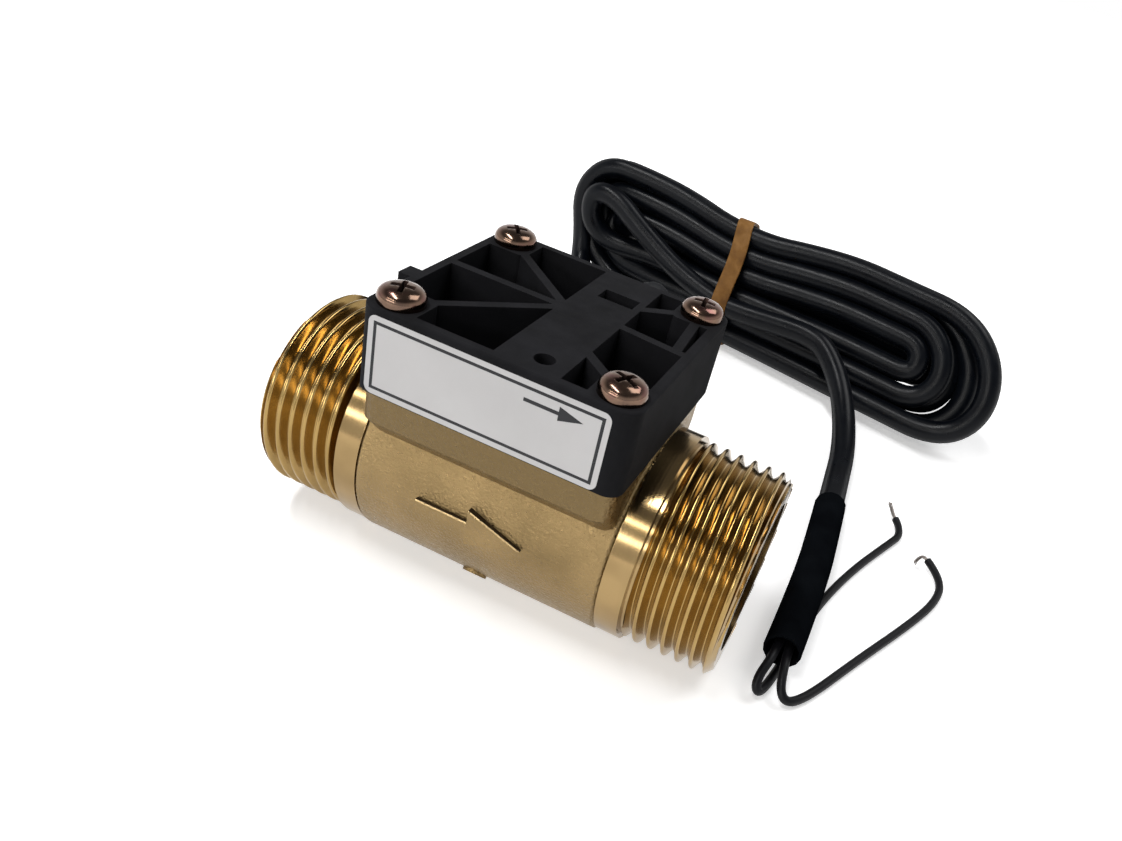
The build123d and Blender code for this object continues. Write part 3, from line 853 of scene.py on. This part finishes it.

# %% [markdown]
# ### Brass
# The middle of the body is as it came from the sand, blasted to an even satin, so it is rough and
# pitted. The collars and barrels were turned, so they are bright, with fine rings round the axis.
# One finish serves both: the distance along the pipe decides which. The upper edges of the cast
# arrow are worn round, and a painted highlight lightens a narrow band along them; a painted
# shade darkens the saddle's front under the cover's edge. The arrow is geometry. Its rounding and
# its painted highlight follow the distance to its two upper edges, worked out first.

# %% Distance past the arrow's upper edges
brass, tree, shader = finish("brass_cast_and_turned")
along, across, height = [axis_value(tree, axis) for axis in "XYZ"]
arrow_tip, head_back, arrow_rise, shaft_half = 8.1, -0.9, 0.45, 0.9
head_normal = Vector((3.1, 9.0)).normalized()
above_arrow = sum_of(tree, "SUBTRACT", height, (pipe_axis_z + arrow_rise) * MM)
past_shaft = sum_of(tree, "SUBTRACT", above_arrow, shaft_half * MM)
to_tip = sum_of(tree, "SUBTRACT", along, arrow_tip * MM)
tip_share = sum_of(tree, "MULTIPLY", to_tip, head_normal.x)
past_head = sum_of(tree, "MULTIPLY_ADD", above_arrow, head_normal.y, tip_share)
on_head = sum_of(tree, "GREATER_THAN", along, head_back * MM)
head_less_shaft = sum_of(tree, "SUBTRACT", past_head, past_shaft)
past_edge = sum_of(tree, "MULTIPLY_ADD", on_head, head_less_shaft, past_shaft)
print("head slopes", round(math.degrees(math.atan2(head_normal.x, head_normal.y)), 1), "degrees")

# %% Worn edges with a painted highlight, and painted shade on the front under the cover
lip_width = 0.4
saddle_above, arrow_face = 4.0, -17.6
on_saddle = sum_of(tree, "GREATER_THAN", above_arrow, saddle_above * MM)
on_front = sum_of(tree, "LESS_THAN", across, arrow_face * MM)
on_arrow = sum_of(tree, "MULTIPLY", on_front, sum_of(tree, "SUBTRACT", 1.0, on_saddle))
# Painted shade: the saddle's front just under the cover's edge.
painted_cover_shade = spread(tree, across, 1.0, 0.0, -19.0 * MM, -16.5 * MM)
painted_cover_shade = sum_of(tree, "MULTIPLY", painted_cover_shade, on_saddle)
rounding = spread(tree, past_edge, 1.0, 0.0, -lip_width * MM, 0.0)
rounding = sum_of(tree, "MULTIPLY", rounding, on_arrow)
# Painted highlight: a narrow band along the arrow's upper edges, lightened in the colour below.
wear_and_highlight = spread(tree, past_edge, 0.0, 1.0, -lip_width * MM, -0.6 * lip_width * MM)
wear_and_highlight = sum_of(tree, "MULTIPLY", wear_and_highlight, on_arrow)
print("edges worn", lip_width, "mm wide")

# %% Brass: cast middle, turned ends
shader.inputs["Metallic"].default_value = 1.0
cast_end, collar_start = 20.62, 20.82
along_pipe = sum_of(tree, "ABSOLUTE", along)
turned = spread(tree, along_pipe, 0.0, 1.0, cast_end * MM, collar_start * MM)
cast_tints = [(0.3, (0.20, 0.138, 0.062)), (0.7, (0.285, 0.197, 0.090))]
turned_tints = [(0.3, (0.27, 0.183, 0.083)), (0.7, (0.34, 0.235, 0.108))]
cast_colour = tint(tree, grain(tree, 90, 3), cast_tints)
turned_colour = tint(tree, grain(tree, 160, 2), turned_tints)
# Painted highlight: the band along the arrow's upper edges is mixed towards a pale brass.
cast_colour = mixed(tree, wear_and_highlight, cast_colour, (0.56, 0.41, 0.21))
# Painted shade: the saddle's front under the cover is mixed towards a darker brass.
cast_colour = mixed(tree, painted_cover_shade, cast_colour, (0.155, 0.108, 0.05))
cast_rough = spread(tree, grain(tree, 1500, 3), 0.24, 0.42)
turned_rough = spread(tree, grain(tree, 700, 2, (40, 1, 1)), 0.11, 0.2)
rough_mix = tree.nodes.new("ShaderNodeMix")
tree.links.new(turned, rough_mix.inputs["Factor"])
tree.links.new(cast_rough, rough_mix.inputs[2])
tree.links.new(turned_rough, rough_mix.inputs[3])
skin(tree, shader, mixed(tree, turned, cast_colour, turned_colour), rough_mix.outputs[0])
sand = sum_of(tree, "SUBTRACT", grain(tree, 2200, 3), 0.5)
sand = sum_of(tree, "MULTIPLY", sand, sum_of(tree, "SUBTRACT", 1.0, turned))
rings = sum_of(tree, "SUBTRACT", grain(tree, 1800, 1, (1, 0.01, 0.01)), 0.5)
rings = sum_of(tree, "MULTIPLY", rings, turned)
bumps(tree, shader, [(rounding, lip_width, 1.0), (sand, 0.24, 1.0), (rings, 0.02, 0.5)])
dress(casting, brass)
print("brass on", casting.name)

# %% Painted shade on the sides of the cast arrow
arrow_side_shade, tree, shader = finish("brass_painted_shade")
shader.inputs["Metallic"].default_value = 0.8
# Painted shade: a near-black copy of the brass for the side faces by the arrow.
side_shade_tints = [(0.3, (0.03, 0.018, 0.009)), (0.7, (0.06, 0.04, 0.02))]
side_shade_colour = tint(tree, grain(tree, 900, 3), side_shade_tints)
skin(tree, shader, side_shade_colour, spread(tree, grain(tree, 1500, 3), 0.5, 0.7))
bumps(tree, shader, [(grain(tree, 2600, 3), 0.06, 0.8)])
# The side faces by the arrow take the painted shade.
casting.data.materials.append(arrow_side_shade)
in_corners = 0
for face in casting.data.polygons:
    centre = face.center / MM
    outwards = Vector((0.0, centre.y, centre.z - pipe_axis_z)).normalized()
    by_arrow = abs(centre.x) < 14.0 and abs(centre.z - pipe_axis_z) < 8.0
    outside = math.hypot(centre.y, centre.z - pipe_axis_z) > 14.0
    if by_arrow and outside and abs(face.normal.dot(outwards)) < 0.8:
        face.material_index = len(casting.data.materials) - 1
        in_corners += 1
print(in_corners, "faces at the arrow's sides")

# %% Brass of the threads
thread_brass, tree, shader = finish("brass_thread")
shader.inputs["Metallic"].default_value = 1.0
thread_tints = [(0.3, (0.31, 0.205, 0.076)), (0.7, (0.38, 0.255, 0.096))]
thread_colour = tint(tree, grain(tree, 220, 2), thread_tints)
skin(tree, shader, thread_colour, spread(tree, grain(tree, 400, 2), 0.13, 0.21))
bumps(tree, shader, [(grain(tree, 4000, 1, (1, 0.05, 0.05)), 0.006, 0.3)])
dress(inlet_thread, thread_brass)
dress(outlet_thread, thread_brass)
print("brass on both threads")

# %% [markdown]
# ### Black plastics and rubber
# The cover is a matte glass-filled moulding, greyer where it has been rubbed. The cable's sheath is
# glossier, the shrink sleeve duller. Black things are told apart by their roughness.


# %% Moulded, sheathed and sleeved blacks
def black(name, colour, wear_and_highlight, rough, grain_scale, depth, shine):
    """A black finish with a little drift in colour and gloss, a fine grain, and duller edges."""
    material, tree, shader = finish(name)
    colours = tint(tree, grain(tree, 140, 4), [(0.35, colour), (0.7, wear_and_highlight)])
    edge = tree.nodes.new("ShaderNodeLayerWeight").outputs["Facing"]
    dull = spread(tree, edge, 0.0, 0.9, 0.45, 0.85)
    gloss = sum_of(tree, "MAXIMUM", dull, spread(tree, grain(tree, 400, 4), rough[0], rough[1]))
    skin(tree, shader, colours, gloss)
    shader.inputs["Specular IOR Level"].default_value = shine
    bumps(tree, shader, [(grain(tree, grain_scale, 3), depth, 0.6)])
    return material


cover_black = black(
    "cover_moulding", (0.008, 0.008, 0.009), (0.013, 0.013, 0.015), (0.66, 0.8), 3500, 0.02, 0.06
)
sheath_black = black(
    "cable_sheath", (0.0015, 0.002, 0.0035), (0.003, 0.004, 0.006), (0.26, 0.38), 900, 0.02, 0.14
)
sleeve_black = black(
    "sleeve_shrunk", (0.003, 0.0035, 0.0045), (0.005, 0.006, 0.0075), (0.65, 0.8), 1200, 0.04, 0.0
)
core_black = black(
    "core_insulation", (0.004, 0.004, 0.005), (0.008, 0.008, 0.010), (0.35, 0.5), 2500, 0.02, 0.15
)
seal_black = black(
    "seal_rubber", (0.015, 0.015, 0.016), (0.025, 0.025, 0.026), (0.5, 0.65), 2500, 0.02, 0.4
)
resin_black = black(
    "potting_resin", (0.015, 0.015, 0.018), (0.022, 0.022, 0.025), (0.12, 0.25), 500, 0.02, 0.6
)
dress(nodes["cover"], cover_black)
dress(cable, sheath_black)
dress(sleeve, sleeve_black)
for piece in (left_core, right_core, nodes["inner_cores"]):
    dress(piece, core_black)
dress(nodes["cover_seal"], seal_black)
dress(nodes["reed_potting"], resin_black)
print("six blacks")

# %% [markdown]
# ### Label
# A printed foil label, pale grey, with a thin black frame set in from its edge and a plain arrow
# that points the way the water flows. The frame and the arrow are worked out from the place on the
# label, so that they stay sharp at any distance.

# %% Label with its frame
label_finish, tree, shader = finish("label_print")
label_x, label_z, label_half_wide, label_half_high = -0.7, 40.4, 18.0, 6.0
frame_inset, frame_half = 1.05, 0.24
across = sum_of(tree, "SUBTRACT", axis_value(tree, "X"), label_x * MM)
upward = sum_of(tree, "SUBTRACT", axis_value(tree, "Z"), label_z * MM)
from_side = sum_of(tree, "SUBTRACT", label_half_wide * MM, sum_of(tree, "ABSOLUTE", across))
from_edge = sum_of(tree, "SUBTRACT", label_half_high * MM, sum_of(tree, "ABSOLUTE", upward))
inset = sum_of(tree, "MINIMUM", from_side, from_edge)
frame_line = sum_of(tree, "COMPARE", inset, frame_inset * MM, frame_half * MM)
print("frame", frame_inset, "mm inside the label's edge")

# %% The printed arrow
printed_x, printed_z = 8.5, 3.1
shaft_thin, shaft_reach, tip_reach, tip_back, tip_slope = 0.28, 2.8, 5.9, 2.3, 0.3
arrow_x = sum_of(tree, "SUBTRACT", across, printed_x * MM)
arrow_z = sum_of(tree, "ABSOLUTE", sum_of(tree, "SUBTRACT", upward, printed_z * MM))
thin = sum_of(tree, "LESS_THAN", arrow_z, shaft_thin * MM)
near = sum_of(tree, "LESS_THAN", sum_of(tree, "ABSOLUTE", arrow_x), shaft_reach * MM)
shaft = sum_of(tree, "MULTIPLY", thin, near)
taper = sum_of(tree, "SUBTRACT", tip_reach * MM, arrow_x)
inside = sum_of(tree, "LESS_THAN", arrow_z, sum_of(tree, "MULTIPLY", taper, tip_slope))
tip = sum_of(tree, "MULTIPLY", inside, sum_of(tree, "GREATER_THAN", arrow_x, tip_back * MM))
ink = sum_of(tree, "MAXIMUM", frame_line, sum_of(tree, "MAXIMUM", shaft, tip))
foil = tint(tree, grain(tree, 60, 4), [(0.3, (0.56, 0.55, 0.55)), (0.7, (0.62, 0.61, 0.61))])
printed = mixed(tree, ink, foil, (0.015, 0.015, 0.018))
skin(tree, shader, printed, spread(tree, grain(tree, 300, 3), 0.34, 0.46))
shader.inputs["Specular IOR Level"].default_value = 0.3
bumps(tree, shader, [(grain(tree, 1500, 3), 0.01, 0.4)])
dress(nodes["label_plate"], label_finish)
print("label dressed")

# %% [markdown]
# ### Screws, spring, reed and the rest
# The screws are zinc plated with a warm passivated film that shifts from gold to rose. The inner
# pieces are plainer, but each still gets the finish of its real material.

# %% Metals and inner pieces
def metal(name, colours, rough):
    """A metal with a drifting tint and fine marks."""
    material, tree, shader = finish(name)
    shader.inputs["Metallic"].default_value = 1.0
    gloss = spread(tree, grain(tree, 600, 3), rough[0], rough[1])
    skin(tree, shader, tint(tree, grain(tree, 350, 3), colours), gloss)
    bumps(tree, shader, [(grain(tree, 2400, 2), 0.01, 0.5)])
    return material


screw_zinc = metal(
    "screw_passivated",
    [(0.3, (0.11, 0.072, 0.055)), (0.5, (0.17, 0.108, 0.076)), (0.7, (0.15, 0.070, 0.064))],
    (0.12, 0.2),
)
steel = metal("stainless_drawn", [(0.3, (0.55, 0.55, 0.56)), (0.7, (0.66, 0.66, 0.68))], (0.15, 0.3))
tinned = metal("tinned_strand", [(0.3, (0.22, 0.20, 0.19)), (0.7, (0.40, 0.36, 0.33))], (0.3, 0.5))
# Painted shade: a much darker copy of the plated metal for the cross recess.
recess = metal("screw_recess_painted_shade", [(0.3, (0.02, 0.012, 0.010)), (0.7, (0.05, 0.03, 0.025))], (0.35, 0.5))
recess_radius, recess_floor = 2.2, 1.4
for screw in screws:
    dress(screw, screw_zinc)
    screw.data.materials.append(recess)
    # Faces in the cross recess take the painted shade.
    for face in screw.data.polygons:
        centre = face.center / MM
        above = centre.z - cover_top
        near = math.hypot(abs(centre.x) - screw_x, abs(centre.y) - screw_y) < recess_radius
        steep = face.normal.z < 0.6
        if near and above > rim_height and (steep or above < recess_floor):
            face.material_index = 1
for piece in (nodes["pivot_pin"], nodes["reed_blades"], coil):
    dress(piece, steel)
dress(left_strands, tinned)
dress(right_strands, tinned)
print("metals dressed")

# %% Paddle, magnet and glass
acetal, tree, shader = finish("paddle_acetal")
acetal_tints = [(0.3, (0.74, 0.73, 0.68)), (0.7, (0.80, 0.79, 0.75))]
acetal_colour = tint(tree, grain(tree, 120, 3), acetal_tints)
skin(tree, shader, acetal_colour, spread(tree, grain(tree, 500, 3), 0.3, 0.42))
shader.inputs["Subsurface Weight"].default_value = 0.1
shader.inputs["Subsurface Radius"].default_value = (0.002, 0.002, 0.002)
bumps(tree, shader, [(grain(tree, 3000, 2), 0.01, 0.5)])
dress(nodes["paddle"], acetal)

ferrite, tree, shader = finish("magnet_ferrite")
ferrite_tints = [(0.3, (0.03, 0.03, 0.035)), (0.7, (0.06, 0.06, 0.065))]
ferrite_colour = tint(tree, grain(tree, 900, 4), ferrite_tints)
skin(tree, shader, ferrite_colour, spread(tree, grain(tree, 1500, 3), 0.45, 0.6))
bumps(tree, shader, [(grain(tree, 6000, 3), 0.02, 0.6)])
dress(nodes["paddle_magnet"], ferrite)

glass, tree, shader = finish("reed_glass_tube")
shader.inputs["Transmission Weight"].default_value = 1.0
shader.inputs["IOR"].default_value = 1.5
glass_tints = [(0.3, (0.80, 0.92, 0.84)), (0.7, (0.88, 0.96, 0.90))]
glass_colour = tint(tree, grain(tree, 300, 2), glass_tints)
skin(tree, shader, glass_colour, spread(tree, grain(tree, 400, 2), 0.02, 0.06))
dress(nodes["reed_glass"], glass)
print("paddle, magnet and glass dressed")

# %% Rubber of the band
band_tan, tree, shader = finish("band_rubber_tan")
tan_tints = [
    (0.25, (0.10, 0.042, 0.009)),
    (0.5, (0.18, 0.083, 0.019)),
    (0.75, (0.28, 0.145, 0.045)),
]
tan_colour = tint(tree, grain(tree, 260, 5), tan_tints)
skin(tree, shader, tan_colour, spread(tree, grain(tree, 500, 3), 0.5, 0.7))
shader.inputs["Specular IOR Level"].default_value = 0.15
bumps(tree, shader, [(grain(tree, 1500, 4), 0.05, 0.6)])
dress(band, band_tan)
print("every piece has its finish")

# %% [markdown]
# ## What each piece stands for
# Each new piece rides on the switch's body and replaces the plain solid of the same thing.

# %% Riding and replacing; the slot names in the list are not read
body = "switch_body"
jobs = [
    (casting, ("brass_body",), "brass"),
    (inlet_thread, ("brass_body",), "brass"),
    (outlet_thread, ("brass_body",), "brass"),
    (cable, ("cable_lead", "cable_hank", "cable_tail"), "cable_pvc"),
    (sleeve, ("tail_sleeve",), "sleeve_pvc"),
    (left_core, ("core_wire_left",), "core_pvc"),
    (right_core, ("core_wire_right",), "core_pvc"),
    (left_strands, ("wire_strands_left",), "tinned_copper"),
    (right_strands, ("wire_strands_right",), "tinned_copper"),
    (band, ("hank_band",), "band_rubber"),
    (coil, ("return_spring",), "stainless"),
]
jobs += [(screw, ("cover_screws",), "screw_steel") for screw in screws]
for piece, replaced, slot in jobs:
    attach(piece, body)
    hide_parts(*replaced)
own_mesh(coil)
print(len(jobs), "pieces ride on", body)

# %% The cords
print("cords laid")

# %% [markdown]
# ## Floor and light
# The switch lies on white paper under rows of small lamps. The streaks on the turned brass tell
# where they were: the view bounces off a round bar at a known angle, so each streak points back at
# its lamp. One row was overhead, one above the front, and one low in front like a window.
# The paper and the air round it look white through a glow that only some rays see: the camera's own
# and those that metal or glass sends on. So the brass mirrors the same white that the camera sees,
# no more light falls on the object, and the soft shadows stay on the paper. Higher up the room is
# darker, for both alike, and that gives the round brass its dark bands between the lamps.

# %% Rays that see the white
def looking(tree):
    """1 for a ray from the camera, and for one that a mirror or glass sends on."""
    rays = tree.nodes.new("ShaderNodeLightPath")
    sent_on = sum_of(
        tree, "MAXIMUM", rays.outputs["Is Glossy Ray"], rays.outputs["Is Transmission Ray"]
    )
    return sum_of(tree, "MAXIMUM", rays.outputs["Is Camera Ray"], sent_on)


print("white for camera, glossy and transmission rays")

# %% White floor
floor_size, floor_drop = 6.0, 0.2
bpy.ops.mesh.primitive_plane_add(size=floor_size)
floor = bpy.context.object
floor.location.z = -floor_drop * MM
settle(floor, "table_top")
floor_white, tree, shader = finish("table_white")
far = tree.nodes.new("ShaderNodeVectorMath")
far.operation = "LENGTH"
tree.links.new(place_node(tree), far.inputs[0])
shader.inputs["Base Color"].default_value = (0.88, 0.88, 0.88, 1.0)
shader.inputs["Roughness"].default_value = 0.9
shader.inputs["Specular IOR Level"].default_value = 0.0
shader.inputs["Emission Color"].default_value = (1.0, 1.0, 1.0, 1.0)
glow = spread(tree, far.outputs["Value"], 0.46, 1.0, 0.12, 0.5)
tree.links.new(sum_of(tree, "MULTIPLY", looking(tree), glow), shader.inputs["Emission Strength"])
dress(floor, floor_white)
print("floor down")

# %% World and lamps
world = bpy.data.worlds.new("studio_air")
world.use_nodes = True
bpy.context.scene.world = world
tree = world.node_tree
background = tree.nodes["Background"]
heading = tree.nodes.new("ShaderNodeTexCoord").outputs["Generated"]
split = tree.nodes.new("ShaderNodeSeparateXYZ")
tree.links.new(heading, split.inputs["Vector"])
climb = spread(tree, split.outputs["Z"], 0.0, 1.0, 0.30, 0.65)
white, dim, faint = (1.0, 1.0, 1.0), (0.14, 0.14, 0.145), (0.12, 0.12, 0.125)
room = tint(tree, climb, [(0.0, white), (1.0, dim)])
tree.links.new(mixed(tree, looking(tree), faint, room), background.inputs["Color"])
background.inputs["Strength"].default_value = 1.0


def soft_lamp(name, place, target, size, watts, colour=(1.0, 1.0, 1.0)):
    """A rectangular soft lamp aimed at a place."""
    bpy.ops.object.light_add(type="AREA", location=place)
    lamp = bpy.context.object
    lamp.name = name
    lamp.data.shape = "RECTANGLE"
    lamp.data.size, lamp.data.size_y = size
    lamp.data.energy = watts
    lamp.data.color = colour
    aim = Vector(target) - Vector(place)
    lamp.rotation_euler = aim.to_track_quat("-Z", "Y").to_euler()
    return lamp


middle = (0, 0.03, 0.02)
soft_lamp("row_overhead", (-0.28, -0.16, 0.85), middle, (0.70, 0.09), 5.4)
soft_lamp("row_front", (-0.30, -0.68, 0.60), middle, (0.60, 0.06), 1.4, (1.0, 0.97, 0.90))
soft_lamp("window_low", (-0.32, -0.88, 0.36), middle, (0.70, 0.10), 2.0)
soft_lamp("room_behind", (0.35, 0.45, 0.90), middle, (0.60, 0.50), 4.0)
print("four lamps")
